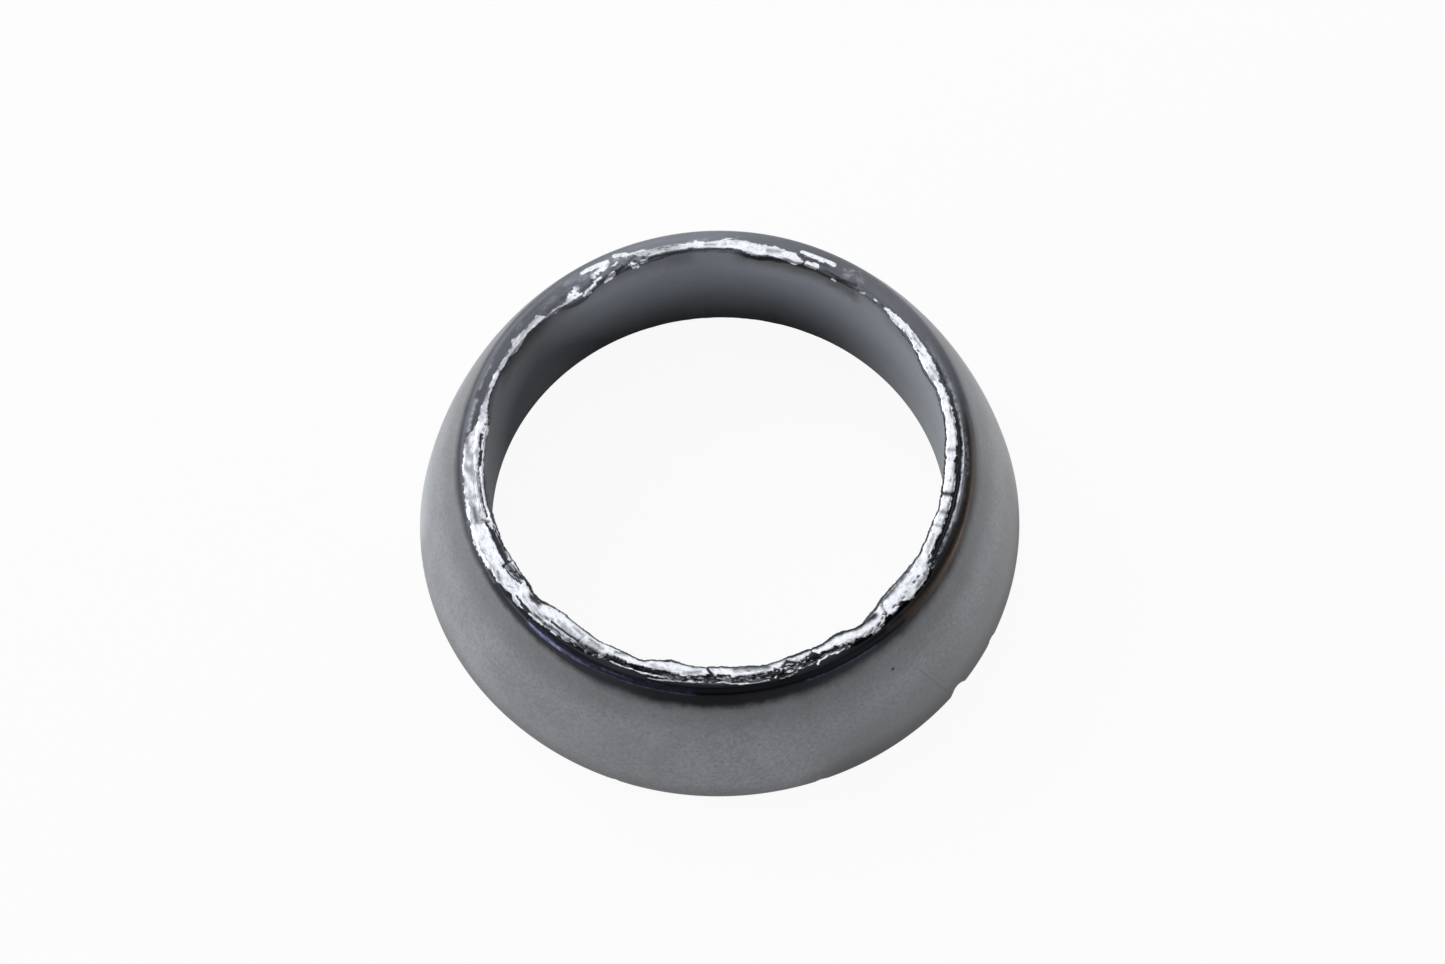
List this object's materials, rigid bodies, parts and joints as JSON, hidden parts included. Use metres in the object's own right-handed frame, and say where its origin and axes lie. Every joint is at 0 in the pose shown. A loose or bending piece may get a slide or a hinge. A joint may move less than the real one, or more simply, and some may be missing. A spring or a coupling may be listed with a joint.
{
  "type": "exhaust gasket",
  "caption": "Ring-shaped exhaust pipe gasket with a straight bore, a flat base, a domed conical flank and a crumpled bright lip at the narrow end.",
  "frame": {"origin": "centre of the flat base, on the bore's axis", "axes": "+Z along the bore's axis from the broad base to the narrow lip, -Y towards the side that the picture is taken from, +X to its right"},
  "size_m": [0.0672, 0.0672, 0.0167],
  "materials": {
    "pressed_graphite": "pressed dark graphite with a satin sheen, burnished at the shoulder, with a bright crumpled metal foil lip"
  },
  "bodies": {
    "root": {"gasket_ring": "pressed_graphite"}
  },
  "joints": []
}
